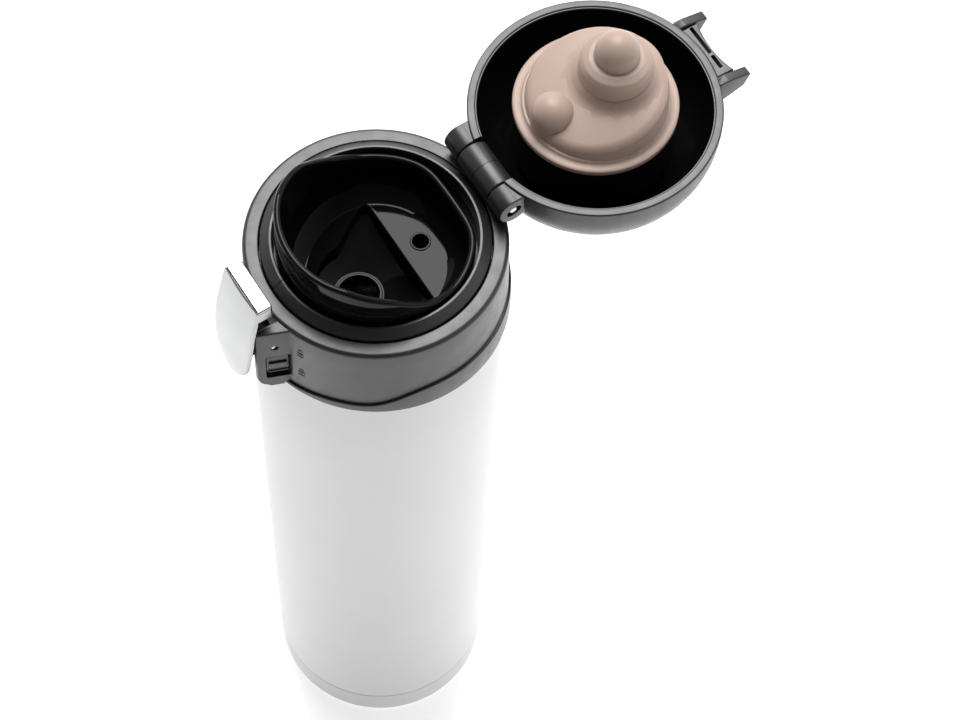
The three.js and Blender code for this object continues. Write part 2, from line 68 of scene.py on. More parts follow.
def rounded(points, closed=False, step=14):
    """points (a, b, radius): corners replaced by arcs. Returns (a, b) points."""
    n = len(points)
    out = []
    for i in range(n):
        a, b = points[i][0], points[i][1]
        rad = points[i][2] if len(points[i]) > 2 else 0
        if rad <= 0 or (not closed and i in (0, n - 1)):
            out.append((a, b)); continue
        p = np.array([a, b], float)
        p0 = np.array(points[(i - 1) % n][:2], float) - p
        p1 = np.array(points[(i + 1) % n][:2], float) - p
        l0, l1 = np.linalg.norm(p0), np.linalg.norm(p1)
        if l0 < 1e-6 or l1 < 1e-6:
            out.append((a, b)); continue
        u0, u1 = p0 / l0, p1 / l1
        ang = math.acos(max(-1, min(1, float(u0 @ u1))))
        if ang > math.radians(176):
            out.append((a, b)); continue
        t = rad / math.tan(ang / 2)
        t = min(t, 0.48 * l0, 0.48 * l1)
        r = t * math.tan(ang / 2)
        bis = (u0 + u1) / np.linalg.norm(u0 + u1)
        c = p + bis * (r / math.sin(ang / 2))
        s, e = p + u0 * t - c, p + u1 * t - c
        sweep = math.pi - ang
        k = max(2, int(math.ceil(math.degrees(sweep) / step)))
        a0 = math.atan2(s[1], s[0]); a1 = math.atan2(e[1], e[0])
        d = (a1 - a0 + math.pi) % (2 * math.pi) - math.pi
        for j in range(k + 1):
            q = a0 + d * j / k
            out.append((c[0] + r * math.cos(q), c[1] + r * math.sin(q)))
    return out


def lathe(name, profile, seg=144, y=0.0, closed=False, zmap=None, close_axis=True):
    """profile (r, z) turned about the vertical line at x=0, y=y. zmap(angle, r, z) may move points."""
    verts, rows = [], []
    for (r, z) in profile:
        if r < 1e-5:
            rows.append([len(verts)])
            verts.append((0, y, z if zmap is None else zmap(0.0, 0.0, z)))
        else:
            row = []
            for k in range(seg):
                a = 2 * math.pi * k / seg
                zz = z if zmap is None else zmap(a, r, z)
                row.append(len(verts))
                verts.append((r * math.sin(a), y - r * math.cos(a), zz))
            rows.append(row)
    faces = []
    pairs = list(zip(range(len(rows)), list(range(1, len(rows))) + ([0] if closed else [])))
    for i, j in pairs:
        A, B = rows[i], rows[j]
        if len(A) == 1 and len(B) == 1:
            continue
        for k in range(seg):
            k2 = (k + 1) % seg
            if len(A) == 1:
                faces.append((A[0], B[k], B[k2]))
            elif len(B) == 1:
                faces.append((A[k], B[0], A[k2]))
            else:
                faces.append((A[k], B[k], B[k2], A[k2]))
    return new_obj(name, verts, faces)


def loft(name, loops, caps=True, wrap=False):
    """loops: lists of 3-D points, all the same length, each a closed loop."""
    n = len(loops[0])
    verts = [p for lp in loops for p in lp]
    faces = []
    cnt = len(loops)
    for i in range(cnt if wrap else cnt - 1):
        j = (i + 1) % cnt
        for k in range(n):
            k2 = (k + 1) % n
            faces.append((i * n + k, i * n + k2, j * n + k2, j * n + k))
    if caps and not wrap:
        faces.append(tuple(range(n - 1, -1, -1)))
        faces.append(tuple((cnt - 1) * n + k for k in range(n)))
    return new_obj(name, verts, faces)


def inset(pts, d):
    """moves a closed, counter-clockwise or clockwise outline inwards by d along its corner normals"""
    P = np.array(pts, float)
    n = len(P)
    area = 0.5 * sum(P[i][0] * P[(i + 1) % n][1] - P[(i + 1) % n][0] * P[i][1] for i in range(n))
    sgn = 1 if area > 0 else -1
    out = []
    for i in range(n):
        e0 = P[i] - P[i - 1]; e1 = P[(i + 1) % n] - P[i]
        e0 = e0 / max(1e-9, np.linalg.norm(e0)); e1 = e1 / max(1e-9, np.linalg.norm(e1))
        n0 = np.array([-e0[1], e0[0]]) * sgn; n1 = np.array([-e1[1], e1[0]]) * sgn
        m = n0 + n1
        m = m / max(1e-6, np.linalg.norm(m))
        c = max(0.5, float(m @ n0))
        out.append(P[i] + m * d / c)
    return out


def round_levels(a, b, ra, rb, steps=4):
    """(height, inset) pairs for a body from a to b with rims rounded by ra and rb"""
    out = []
    for i in range(steps + 1):
        q = math.pi / 2 * i / steps
        out.append((a + ra * (1 - math.cos(q)), ra * (1 - math.sin(q))))
    for i in range(steps + 1):
        q = math.pi / 2 * i / steps
        out.append((b - rb * (1 - math.sin(q)), rb * (1 - math.cos(q))))
    return out


def slab(name, outline, a, b, axis="z", ra=0.3, rb=0.3, corner=0.0, steps=4):
    pts = rounded([(p[0], p[1], p[2] if len(p) > 2 else corner) for p in outline], closed=True)
    loops = []
    for v, d in round_levels(a, b, ra, rb, steps):
        ps = inset(pts, d) if d > 1e-6 else pts
        if axis == "z": loops.append([(p[0], p[1], v) for p in ps])
        elif axis == "x": loops.append([(v, p[0], p[1]) for p in ps])
        else: loops.append([(p[0], v, p[1]) for p in ps])
    return loft(name, loops)


def rod(name, r, a, b, axis="x", at=(0, 0), seg=48, ra=0.25, rb=0.25):
    out = [(at[0] + r * math.cos(2 * math.pi * k / seg), at[1] + r * math.sin(2 * math.pi * k / seg)) for k in range(seg)]
    return slab(name, out, a, b, axis, ra, rb)


def block(name, x0, x1, y0, y1, z0, z1, e=0.0):
    return slab(name, [(x0, y0), (x1, y0), (x1, y1), (x0, y1)], z0, z1, "z", e, e, corner=e) if e else \
        loft(name, [[(x0, y0, z), (x1, y0, z), (x1, y1, z), (x0, y1, z)] for z in (z0, z1)])


def tube(name, path, r, sides=10):
    P = np.array(path, float)
    T = np.gradient(P, axis=0)
    T /= np.linalg.norm(T, axis=1)[:, None]
    up = np.array([0, 0, 1.0]) if abs(T[0][2]) < 0.9 else np.array([1.0, 0, 0])
    N = up - T[0] * (up @ T[0]); N /= np.linalg.norm(N)
    loops = []
    for i in range(len(P)):
        N = N - T[i] * (N @ T[i]); N /= np.linalg.norm(N)
        B = np.cross(T[i], N)
        loops.append([tuple(P[i] + r * (math.cos(2 * math.pi * k / sides) * N + math.sin(2 * math.pi * k / sides) * B)) for k in range(sides)])
    return loft(name, loops)


def boolean(a, b, op, keep=False):
    m = a.modifiers.new("b", "BOOLEAN")
    m.operation = op
    m.object = b
    m.solver = "MANIFOLD"
    dg = bpy.context.evaluated_depsgraph_get()
    me = bpy.data.meshes.new_from_object(a.evaluated_get(dg))
    if len(me.polygons) == 0:
        m.solver = "EXACT"
        dg = bpy.context.evaluated_depsgraph_get()
        me = bpy.data.meshes.new_from_object(a.evaluated_get(dg))
        print("exact fallback", a.name, b.name, op, len(me.polygons))
    a.modifiers.clear()
    old = a.data
    a.data = me
    bpy.data.meshes.remove(old)
    if not keep:
        bpy.data.objects.remove(b)
    return a


def cut(a, *bs):
    for b in bs: boolean(a, b, "DIFFERENCE")
    return a


def join(a, *bs):
    for b in bs: boolean(a, b, "UNION")
    return a


def bevel(o, width, segs=3, angle=32):
    bm = bmesh.new(); bm.from_mesh(o.data)
    bmesh.ops.remove_doubles(bm, verts=bm.verts, dist=0.02)
    bmesh.ops.dissolve_degenerate(bm, dist=0.01, edges=bm.edges)
    bm.to_mesh(o.data); bm.free()
    m = o.modifiers.new("bv", "BEVEL")
    m.width = width; m.segments = segs; m.limit_method = "ANGLE"; m.angle_limit = math.radians(angle)
    m.use_clamp_overlap = True
    m.miter_outer = "MITER_ARC"
    dg = bpy.context.evaluated_depsgraph_get()
    me = bpy.data.meshes.new_from_object(o.evaluated_get(dg))
    o.modifiers.clear()
    o.data = me
    return o


def finish_piece(o, body, nodes, mat, sharp=38):
    o.data.transform(Matrix.Scale(0.001, 4))
    o.data.materials.clear()
    o.data.materials.append(mat)
    for p in o.data.polygons:
        p.use_smooth = True
    o.data.set_sharp_from_angle(angle=math.radians(sharp))
    o.data.update()
    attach(o, body)
    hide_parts(*nodes)
    return o


# ---------------------------------------------------------------- materials
class Mat:
    def __init__(self, name):
        self.m = bpy.data.materials.new(name)
        self.m.use_nodes = True
        self.nt = self.m.node_tree
        self.b = self.nt.nodes["Principled BSDF"]
        self.tc = self.nt.nodes.new("ShaderNodeTexCoord")

    def node(self, kind, **kw):
        n = self.nt.nodes.new(kind)
        for k, v in kw.items():
            if k in n.inputs: n.inputs[k].default_value = v
            else: setattr(n, k, v)
        return n

    def link(self, a, b): self.nt.links.new(a, b)

    def coords(self, scale=(1, 1, 1), rot=(0, 0, 0)):
        mp = self.node("ShaderNodeMapping")
        mp.inputs["Scale"].default_value = scale
        mp.inputs["Rotation"].default_value = rot
        self.link(self.tc.outputs["Object"], mp.inputs["Vector"])
        return mp.outputs["Vector"]

    def noise(self, scale, detail=3, rough=0.5, vec=None, dist=0.0):
        n = self.node("ShaderNodeTexNoise")
        n.inputs["Scale"].default_value = scale
        n.inputs["Detail"].default_value = detail
        n.inputs["Roughness"].default_value = rough
        n.inputs["Distortion"].default_value = dist
        self.link(vec or self.tc.outputs["Object"], n.inputs["Vector"])
        return n.outputs["Fac"]

    def ramp(self, fac, lo, hi, p0=0.3, p1=0.7):
        r = self.node("ShaderNodeValToRGB")
        r.color_ramp.elements[0].position = p0
        r.color_ramp.elements[0].color = (*lo, 1) if not isinstance(lo, float) else (lo, lo, lo, 1)
        r.color_ramp.elements[1].position = p1
        r.color_ramp.elements[1].color = (*hi, 1) if not isinstance(hi, float) else (hi, hi, hi, 1)
        self.link(fac, r.inputs["Fac"])
        return r.outputs["Color"]

    def bump(self, height, strength, dist):
        b = self.node("ShaderNodeBump")
        b.inputs["Strength"].default_value = strength
        b.inputs["Distance"].default_value = dist
        self.link(height, b.inputs["Height"])
        if getattr(self, "last_bump", None):
            self.link(self.last_bump, b.inputs["Normal"])
        self.last_bump = b.outputs["Normal"]
        self.link(self.last_bump, self.b.inputs["Normal"])


def set_in(b, **kw):
    for k, v in kw.items():
        b.inputs[k.replace("_", " ")].default_value = v


def white_coat():
    M = Mat("white_coat")
    big = M.noise(22, 3)
    M.link(M.ramp(big, (0.79, 0.79, 0.787), (0.82, 0.82, 0.818)), M.b.inputs["Base Color"])
    fine = M.noise(2600, 2, 0.6)
    M.link(M.ramp(fine, 0.40, 0.52), M.b.inputs["Roughness"])
    M.bump(fine, 0.16, 0.00006)
    M.bump(M.noise(700, 3, 0.55), 0.10, 0.0001)
    set_in(M.b, Specular_IOR_Level=0.5, Coat_Weight=0.12, Coat_Roughness=0.28)
    return M.m


def grey_plastic():
    M = Mat("grey_plastic")
    tone = M.noise(45, 4, 0.6)
    speck = M.noise(2600, 2, 0.5)
    mix = M.node("ShaderNodeMix", data_type="RGBA", blend_type="MULTIPLY")
    mix.inputs[0].default_value = 1.0
    M.link(M.ramp(tone, (0.017, 0.017, 0.0175), (0.024, 0.024, 0.0245)), mix.inputs[6])
    M.link(M.ramp(speck, 0.86, 1.0, 0.35, 0.65), mix.inputs[7])
    M.link(mix.outputs[2], M.b.inputs["Base Color"])
    M.link(M.ramp(M.noise(260, 3), 0.32, 0.40), M.b.inputs["Roughness"])
    M.bump(M.noise(3200, 2, 0.6), 0.30, 0.00006)
    M.bump(M.noise(1100, 2, 0.5), 0.12, 0.00008)
    set_in(M.b, Specular_IOR_Level=0.62)
    return M.m


def black_gloss(name="black_gloss", spec=0.17):
    M = Mat(name)
    M.link(M.ramp(M.noise(60, 3), (0.0035, 0.0036, 0.0038), (0.0055, 0.0056, 0.0058)), M.b.inputs["Base Color"])
    M.link(M.ramp(M.noise(420, 4, 0.6), 0.035, 0.085), M.b.inputs["Roughness"])
    M.bump(M.noise(90, 2, 0.4), 0.05, 0.0004)
    # fine hairline scuffs
    M.bump(M.noise(900, 5, 0.75, M.coords((1, 1, 14), (0.3, 0.2, 0.5))), 0.03, 0.00004)
    set_in(M.b, Specular_IOR_Level=spec, IOR=1.45)
    return M.m


def dark_plastic():
    M = Mat("dark_plastic")
    M.link(M.ramp(M.noise(120, 3), (0.008, 0.008, 0.0085), (0.013, 0.013, 0.0135)), M.b.inputs["Base Color"])
    M.link(M.ramp(M.noise(500, 3), 0.20, 0.32), M.b.inputs["Roughness"])
    M.bump(M.noise(2600, 2), 0.10, 0.00005)
    return M.m


def chrome():
    M = Mat("chrome_trim")
    M.link(M.ramp(M.noise(50, 3), (0.38, 0.383, 0.388), (0.43, 0.433, 0.438)), M.b.inputs["Base Color"])
    M.link(M.ramp(M.noise(900, 3, 0.6), 0.19, 0.25), M.b.inputs["Roughness"])
    M.bump(M.noise(40, 2, 0.4), 0.05, 0.0006)
    M.bump(M.noise(2400, 2, 0.5), 0.03, 0.00004)
    set_in(M.b, Metallic=1.0)
    return M.m


def steel():
    M = Mat("bare_steel")
    M.link(M.ramp(M.noise(90, 3), (0.54, 0.54, 0.545), (0.64, 0.64, 0.645)), M.b.inputs["Base Color"])
    brush = M.noise(500, 4, 0.7, M.coords((0.25, 0.25, 9)))
    M.link(M.ramp(brush, 0.20, 0.36), M.b.inputs["Roughness"])
    M.bump(brush, 0.14, 0.00006)
    set_in(M.b, Metallic=1.0)
    return M.m


def silicone():
    M = Mat("silicone")
    tone = M.noise(70, 4, 0.6)
    M.link(M.ramp(tone, (0.40, 0.293, 0.241), (0.44, 0.323, 0.267)), M.b.inputs["Base Color"])
    M.link(M.ramp(M.noise(500, 3, 0.6), 0.34, 0.46), M.b.inputs["Roughness"])
    M.bump(M.noise(1500, 3, 0.6), 0.14, 0.00008)
    M.bump(M.noise(160, 3, 0.5), 0.08, 0.0004)
    set_in(M.b, Subsurface_Weight=0.12, Subsurface_Scale=0.0015, Specular_IOR_Level=0.38, Sheen_Weight=0.03, Sheen_Roughness=0.5)
    M.b.inputs["Subsurface Radius"].default_value = (1.0, 0.55, 0.4)
    return M.m


def clear_silicone():
    M = Mat("clear_silicone")
    M.link(M.ramp(M.noise(80, 3), (0.70, 0.70, 0.67), (0.78, 0.78, 0.76)), M.b.inputs["Base Color"])
    M.link(M.ramp(M.noise(400, 3), 0.40, 0.55), M.b.inputs["Roughness"])
    M.bump(M.noise(1200, 3), 0.1, 0.0001)
    return M.m


def pad():
    M = Mat("pad")
    M.link(M.ramp(M.noise(150, 4), (0.075, 0.076, 0.08), (0.105, 0.106, 0.11)), M.b.inputs["Base Color"])
    M.link(M.ramp(M.noise(600, 3), 0.62, 0.8), M.b.inputs["Roughness"])
    M.bump(M.noise(1800, 3, 0.6), 0.35, 0.0001)
    return M.m


def glass_bead():
    M = Mat("glass_bead")
    M.link(M.ramp(M.noise(400, 3), (0.035, 0.045, 0.05), (0.055, 0.062, 0.066)), M.b.inputs["Base Color"])
    M.link(M.ramp(M.noise(900, 3), 0.08, 0.22), M.b.inputs["Roughness"])
    M.bump(M.noise(500, 3), 0.15, 0.0002)
    return M.m


WHITE, GREY, BLACK, DARK, CHROME, STEEL, SILI, CLEAR, PAD, BEAD = (
    white_coat(), grey_plastic(), black_gloss(), dark_plastic(), chrome(), steel(), silicone(), clear_silicone(), pad(), glass_bead())

LID_GLOSS = black_gloss("black_gloss_lid", 0.6)


# ---------------------------------------------------------------- flask
def shell_r(z):
    return SEAM_R + (SHOULDER_R - SEAM_R) * (z - SEAM_Z) / (SHOULDER_Z - SEAM_Z)


def flask():
    walls = [(shell_r(z), z, 0) for z in (40, 80, 120, 160)]
    thread = []
    for zt in (215.6,):
        thread += [(NECK_R, zt - 1.0, .15), (NECK_R + 0.35, zt - 0.35, .15), (NECK_R + 0.35, zt + 0.35, .15), (NECK_R, zt + 1.0, .15)]
    prof = rounded([(SEAM_R, SEAM_Z + 0.12, 0.3), *walls, (SHOULDER_R, SHOULDER_Z, 1.0), (31.4, 206.5, 0.8), (NECK_R, 207.8, 0.6), *thread,
                    (NECK_R, RIM_Z, 0.45), (28.25, RIM_Z, 0.3), (28.25, RIM_Z - 0.75, 0), (NECK_R - WALL, RIM_Z - 0.75, 0), (NECK_R - WALL, 207.4, 0.5),
                    (SHOULDER_R - WALL, 203.4, 1.0), (SEAM_R - WALL, SEAM_Z + 0.12, 0.2)], closed=True)
    o = lathe("mug_wall", prof, 192, closed=True)
    finish_piece(o, "flask", ["outer_shell"], WHITE)

    prof = rounded([(SEAM_R - 0.03, SEAM_Z - 0.12, 0.3), (BASE_R + 0.32, 3.2, 4.0), (BASE_R, 0.0, 1.3), (26.4, 0, 0.3), (26.4, 1.0, 0),
                    (29.0, 1.0, 0), (SEAM_R - WALL, SEAM_Z - 0.12, 0.2)], closed=True)
    o = lathe("mug_foot", prof, 192, closed=True)
    finish_piece(o, "flask", ["base_cup"], WHITE)

    prof = rounded([(0, 0.45, 0), (14.6, 0.45, 0.2), (15.0, 0.0, 0.2), (16.6, 0.0, 0.2), (17.0, 0.45, 0.2), (18.6, 0.45, 0.2), (19.0, 0.0, 0.2), (20.6, 0.0, 0.2), (21.0, 0.45, 0.2),
                    (22.6, 0.45, 0.2), (23.0, 0.0, 0.2), (26.1, 0, 0.4), (26.1, 1.6, 0.2), (0, 1.6, 0)])
    o = lathe("foot_pad", prof, 128)
    finish_piece(o, "flask", ["base_pad"], PAD)

    prof = rounded([(0, 5.0, 0), (28.9, 5.0, 0.6), (29.55, 5.7, 0.4), (29.55, 16.5, 0.2), (28.8, 16.5, 0.2), (28.8, 5.8, 0.5), (0, 5.8, 0)])
    finish_piece(lathe("closing_plate", prof, 96), "flask", ["outer_bottom"], STEEL)
    prof = rounded([(0, 2.2, 0), (1.6, 2.45, 1.0), (2.8, 3.5, 1.0), (2.95, 4.7, 0.2), (0, 4.7, 0)])
    finish_piece(lathe("sealing_bead", prof, 32), "flask", ["seal_bead"], BEAD)
    g = rod("getter_disc", 5.9, 6.15, 8.55, "z", (13, 0), 48, 0.3, 0.3)
    g = cut(g, rod("gc", 4.2, 8.0, 9.0, "z", (13, 0), 40, 0.0, 0.0))
    finish_piece(g, "flask", ["getter"], STEEL)

    inr = lambda z: shell_r(z) - WALL - VACUUM
    wz = [40, 80, 120, 160]
    prof = rounded([(inr(14), 14, 0.2), *[(inr(z), z, 0) for z in wz], (inr(201), 201, 1.2), (29.1, 205.5, 1.2), (NECK_R - WALL - GAP, 207.6, 0.6), (NECK_R - WALL - GAP, RIM_Z - 1.1, 0.25),
                    (28.3, RIM_Z - 1.1, 0.25), (28.3, 207.4, 0.8), (inr(201) - WALL, 202.4, 1.5), *[(inr(z) - WALL, z, 0) for z in wz[::-1]], (inr(14) - WALL, 14, 0.2)], closed=True)
    finish_piece(lathe("inner_wall", prof, 160, closed=True), "flask", ["inner_vessel"], STEEL)
    ir = inr(14) - WALL - GAP
    prof = rounded([(0, 12.6, 0), (23.5, 12.6, 1.5), (ir, 15.3, 1.5), (ir, 19, 0.2), (ir - 0.65, 19, 0.2), (ir - 0.65, 15.9, 1.5), (23.2, 13.4, 1.5), (0, 13.4, 0)])
    finish_piece(lathe("inner_base", prof, 128), "flask", ["inner_bottom"], STEEL)


# ---------------------------------------------------------------- head
WAVE = [(0, 204.6), (18, 204.8), (39, 206.3), (54, 206.6), (60, 207.2), (67, 208.8), (74, 210.6), (82, 211.7), (93, 212.0), (140, 212.0), (180, 212.0)]


def wave(a):
    """height of the parting line; a = angle from the latch side, radians. Smooth cubic through the table."""
    d = abs((math.degrees(a) + 180) % 360 - 180)
    for i in range(1, len(WAVE)):
        if d <= WAVE[i][0]:
            x0, y0 = WAVE[i - 1]; x1, y1 = WAVE[i]
            def slope(j):
                if j <= 0 or j >= len(WAVE) - 1: return 0.0
                return (WAVE[j + 1][1] - WAVE[j - 1][1]) / (WAVE[j + 1][0] - WAVE[j - 1][0])
            m0, m1 = slope(i - 1), slope(i)
            h = x1 - x0; t = (d - x0) / h
            return ((2 * t**3 - 3 * t**2 + 1) * y0 + (t**3 - 2 * t**2 + t) * h * m0 + (-2 * t**3 + 3 * t**2) * y1 + (t**3 - t**2) * h * m1)
    return WAVE[-1][1]


def on_wave(a, r, z):
    return wave(a) + (z - 1000) if z > 900 else z


def dome(off=0.0, n=40, h=LID_H, rad=LID_R, rim=OPEN_RIM):
    """points from the rim down to the crown, moved inwards by off"""
    N = 400
    raw = [(rad * math.cos(i / N * math.pi / 2) ** (2 / LID_N), rim - h * math.sin(i / N * math.pi / 2) ** (2 / LID_N)) for i in range(N + 1)]
    out = []
    for k in range(n + 1):
        i = round(N * k / n)
        a, b = raw[max(0, i - 1)], raw[min(N, i + 1)]
        dx, dz = b[0] - a[0], b[1] - a[1]
        l = math.hypot(dx, dz)
        nx, nz = dz / l, -dx / l
        if k == 0: nx, nz = -1, 0
        if k == n: nx, nz = 0, 1
        out.append((max(0.0, raw[i][0] + nx * off), raw[i][1] + nz * off))
    out[n] = (0.0, out[n][1])
    return out


def skirt():
    prof = rounded([(33.72, COLLAR_Z0, 0.2), (COLLAR_R0, COLLAR_Z0, 0.55), (34.86, 999.85, 0.4), (33.72, 999.85, 0.15)], closed=True)
    o = lathe("lower_band", prof, 240, closed=True, zmap=on_wave)
    finish_piece(o, "head", ["collar_skirt"], GREY)


def cheek(s):
    pts = [(6.95 * s, -30.5), (6.95 * s, -39.9, 0.3), (8.3 * s, -40.2, 0.8), (11.4 * s, -32.0, 0.4), (11.6 * s, -30.5)]
    o = slab("cheek", pts, COLLAR_Z0, 230.0, "z", 0.3, 0.45)
    side = slab("side", [(-29, 203.4), (-36.4, 203.4, 2.2), (-39.4, 205.6, 2.5), (-40.45, 209.5, 3), (-40.3, 230.4, 0.5), (-29, 230.4)], -14, 14, "x", 0, 0)
    return boolean(o, side, "INTERSECT")


def padlock(cx, cz, opened, r_at=34.05):
    """small raised padlock drawn with tubes on the collar's wall. cx is the distance along the wall from x=0 on the latch side."""
    def P(u, v, lift=0.0):
        a = (cx + u) / 34.0
        r = r_at + 0.18 * (224 - (cz + v)) / 18 + lift
        return (r * math.sin(a), -r * math.cos(a), cz + v)
    w, h = 0.85, 0.75
    parts = []
    def stroke(pts, name, r=0.13):
        dense = []
        for i in range(len(pts) - 1):
            for k in range(4):
                t = k / 4
                dense.append((pts[i][0] * (1 - t) + pts[i + 1][0] * t, pts[i][1] * (1 - t) + pts[i + 1][1] * t))
        dense.append(pts[-1])
        return tube(name, [P(u, v) for u, v in dense], r, 8)
    body = [(-w, -h - 0.5), (w, -h - 0.5), (w, h - 0.5), (-w, h - 0.5), (-w, -h - 0.5)]
    parts.append(stroke(body, "pb"))
    sh = [(-0.6, h - 0.5), (-0.6, h + 0.15)] + [(0.6 * -math.cos(q), h + 0.15 + 0.6 * math.sin(q)) for q in np.linspace(0.3, math.pi - 0.3, 6)]
    sh += [(0.6, h + 0.15)] + ([(0.6, h - 0.5)] if not opened else [])
    if opened:
        sh = [(u - 0.0, v + 0.25) if i else (u, v) for i, (u, v) in enumerate(sh)]
    parts.append(stroke(sh, "ps"))
    parts.append(stroke([(0, -0.75), (0, -0.35)], "pk", 0.16))
    return parts


def collar():
    prof = rounded([(34.2, 1000.15, 0.35), (34.02, 224, 0), (33.92, COLLAR_Z1, 1.25), (29.8, COLLAR_Z1, 0.35), (29.75, RIM_Z + 0.4, 0.2), (30.9, RIM_Z + 0.4, 0),
                    (30.9, 208.6, 0.3), (33.42, 208.2, 0), (33.42, 1000.15, 0)], closed=True)
    o = lathe("collar_body", prof, 240, closed=True, zmap=on_wave)
    skin = lambda: lathe("sr", [(31.0, 200), (35.3, 200), (35.3, 1000.15), (31.0, 1000.15)], 120, closed=True, zmap=on_wave)
    for s in (1, -1):
        c = cheek(s)
        cut(c, skin(), lathe("bo", [(0, 200), (33.3, 200), (33.3, 232), (0, 232)], 120))
        join(o, c)
    cut(o, block("rc", -7.0, 7.0, -36.2, -31.9, 207.5, 229.95))
    # relief for the opened lid
    dd = dome(-0.45, 24)
    cut(o, lathe("relief", [(0, OPEN_RIM + 1), (LID_R + 0.45, OPEN_RIM + 1), *dd], 160, LID_Y))
    # middle barrel of the hinge, its web and the step beside it
    bar = rod("barrel", HR, -6.9, 6.9, "x", (HY, HZ), 64, 0.35, 0.35)
    g = lathe("gr", [(HR - 0.12, -0.12), (HR + 0.5, -0.12), (HR + 0.5, 0.12), (HR - 0.12, 0.12)], 64, closed=True)
    g.data.transform(Matrix.Translation((0, HY, HZ)) @ Matrix.Rotation(math.pi / 2, 4, "Y"))
    cut(bar, g)
    web = slab("web", [(29.95, 229.6), (33.3, 229.6), (33.3, HZ), (29.2, HZ, 0.3), (28.95, 232.2, 0.25), (29.95, 231.4, 0.1)], -6.9, 6.9, "x", 0.3, 0.3)
    join(bar, web)
    join(o, bar)
    cut(o, rod("ph", 1.55, -20, 20, "x", (HY, HZ), 32, 0, 0), rod("sp", 3.1, -5.4, 5.4, "x", (HY, HZ), 32, 0, 0))
    # slider window, pin hole
    for s in (1,):
        w = slab("win", [(-38.0, 207.9, 0.7), (-31.9, 207.9, 0.7), (-31.9, 218.7, 0.7), (-38.0, 218.7, 0.7)], 6.2, 13, "x", 0, 0)
        cut(o, w)
    cut(o, rod("lp", 1.0, -14, 14, "x", (PIN_Y, PIN_Z), 28, 0, 0))
    for ic in padlock(14.9, 222.2, True) + padlock(15.1, 212.9, False):
        join(o, ic)
    finish_piece(o, "head", ["collar"], GREY, 34)


def inner_ring():
    prof = rounded([(26.3, 227.2, 0.1), (RING_R, 227.2, 0.1), (RING_R, 231.0, 0.45), (28.7, 231.6, 0.3), (27.1, 232.9, 0.45), (26.3, 232.9, 0.25)], closed=True)
    o = lathe("spout_ring", prof, 192, closed=True)
    # joint beside the latch: a fine radial gap
    g = block("gap", -0.09, 0.09, -30, -25.8, 230.6, 234)
    g.data.transform(Matrix.Rotation(math.radians(-1.8), 4, "Z"))
    cut(o, g)
    finish_piece(o, "head", ["inner_ring"], GREY)


def cup_outline(n=220):
    """outside of the cup: a circle with a flat on the hinge side, corners eased"""
    th = math.acos(CUP_FLAT / CUP_R)
    pts = []
    for i in range(n):
        a = 2 * math.pi * i / n          # from the latch side (-Y), towards +X
        y = -math.cos(a); x = math.sin(a)
        c = y
        k = 26.0
        if c > 0:
            r1, r2 = CUP_R, CUP_FLAT / max(c, 1e-3)
            r = (r1 ** -k + r2 ** -k) ** (-1 / k)
        else:
            r = CUP_R
        pts.append((r * x, r * y))
    return pts


RIM = [(0, 246.0), (26, 245.9), (39, 245.5), (53, 244.0), (70, 241.5), (80, 238.6), (93, 235.1), (104, 233.3), (115, 232.2), (140, 232.0), (180, 232.0)]


def rim_z(a):
    d = abs((math.degrees(a) + 180) % 360 - 180)
    d = max(0, min(180, d))
    xs = [p[0] for p in RIM]; ys = [p[1] for p in RIM]
    for i in range(1, len(RIM)):
        if d <= xs[i]:
            def slope(j):
                if j <= 0 or j >= len(RIM) - 1: return 0.0
                return (ys[j + 1] - ys[j - 1]) / (xs[j + 1] - xs[j - 1])
            h = xs[i] - xs[i - 1]; t = (d - xs[i - 1]) / h
            m0, m1 = slope(i - 1), slope(i)
            z = ((2*t**3 - 3*t**2 + 1) * ys[i-1] + (t**3 - 2*t**2 + t) * h * m0 + (-2*t**3 + 3*t**2) * ys[i] + (t**3 - t**2) * h * m1)
            return min(z, 245.35)
    return ys[-1]


def tear(off=0.0):
    r = POCKET_R
    e = 7.3 + off
    side = [(17.5 + 1.6 * off, e, 1.2), (15.6 + 0.9 * off, 2.1 - 0.4 * off, 8.0), (13.4 + 0.9 * off, -1.4 - 0.3 * off, 8.0), (11.9 + 0.95 * off, -3.7 - 0.1 * off, 6.0)]
    pts = list(side)
    for i in range(21):
        a = -math.radians(i * 9)
        pts.append(((r + off) * math.cos(a), DRINK_Y + (r + off) * math.sin(a), 0))
    pts += [(-x, y, q) for x, y, q in side[::-1]]
    return rounded(pts, closed=True, step=10)


def floor_z(y):
    """height of the cup's floor: level by the hinge, sloping down to the drinking side"""
    return FLOOR_Z - SLOPE * max(0.0, 6.3 - y)


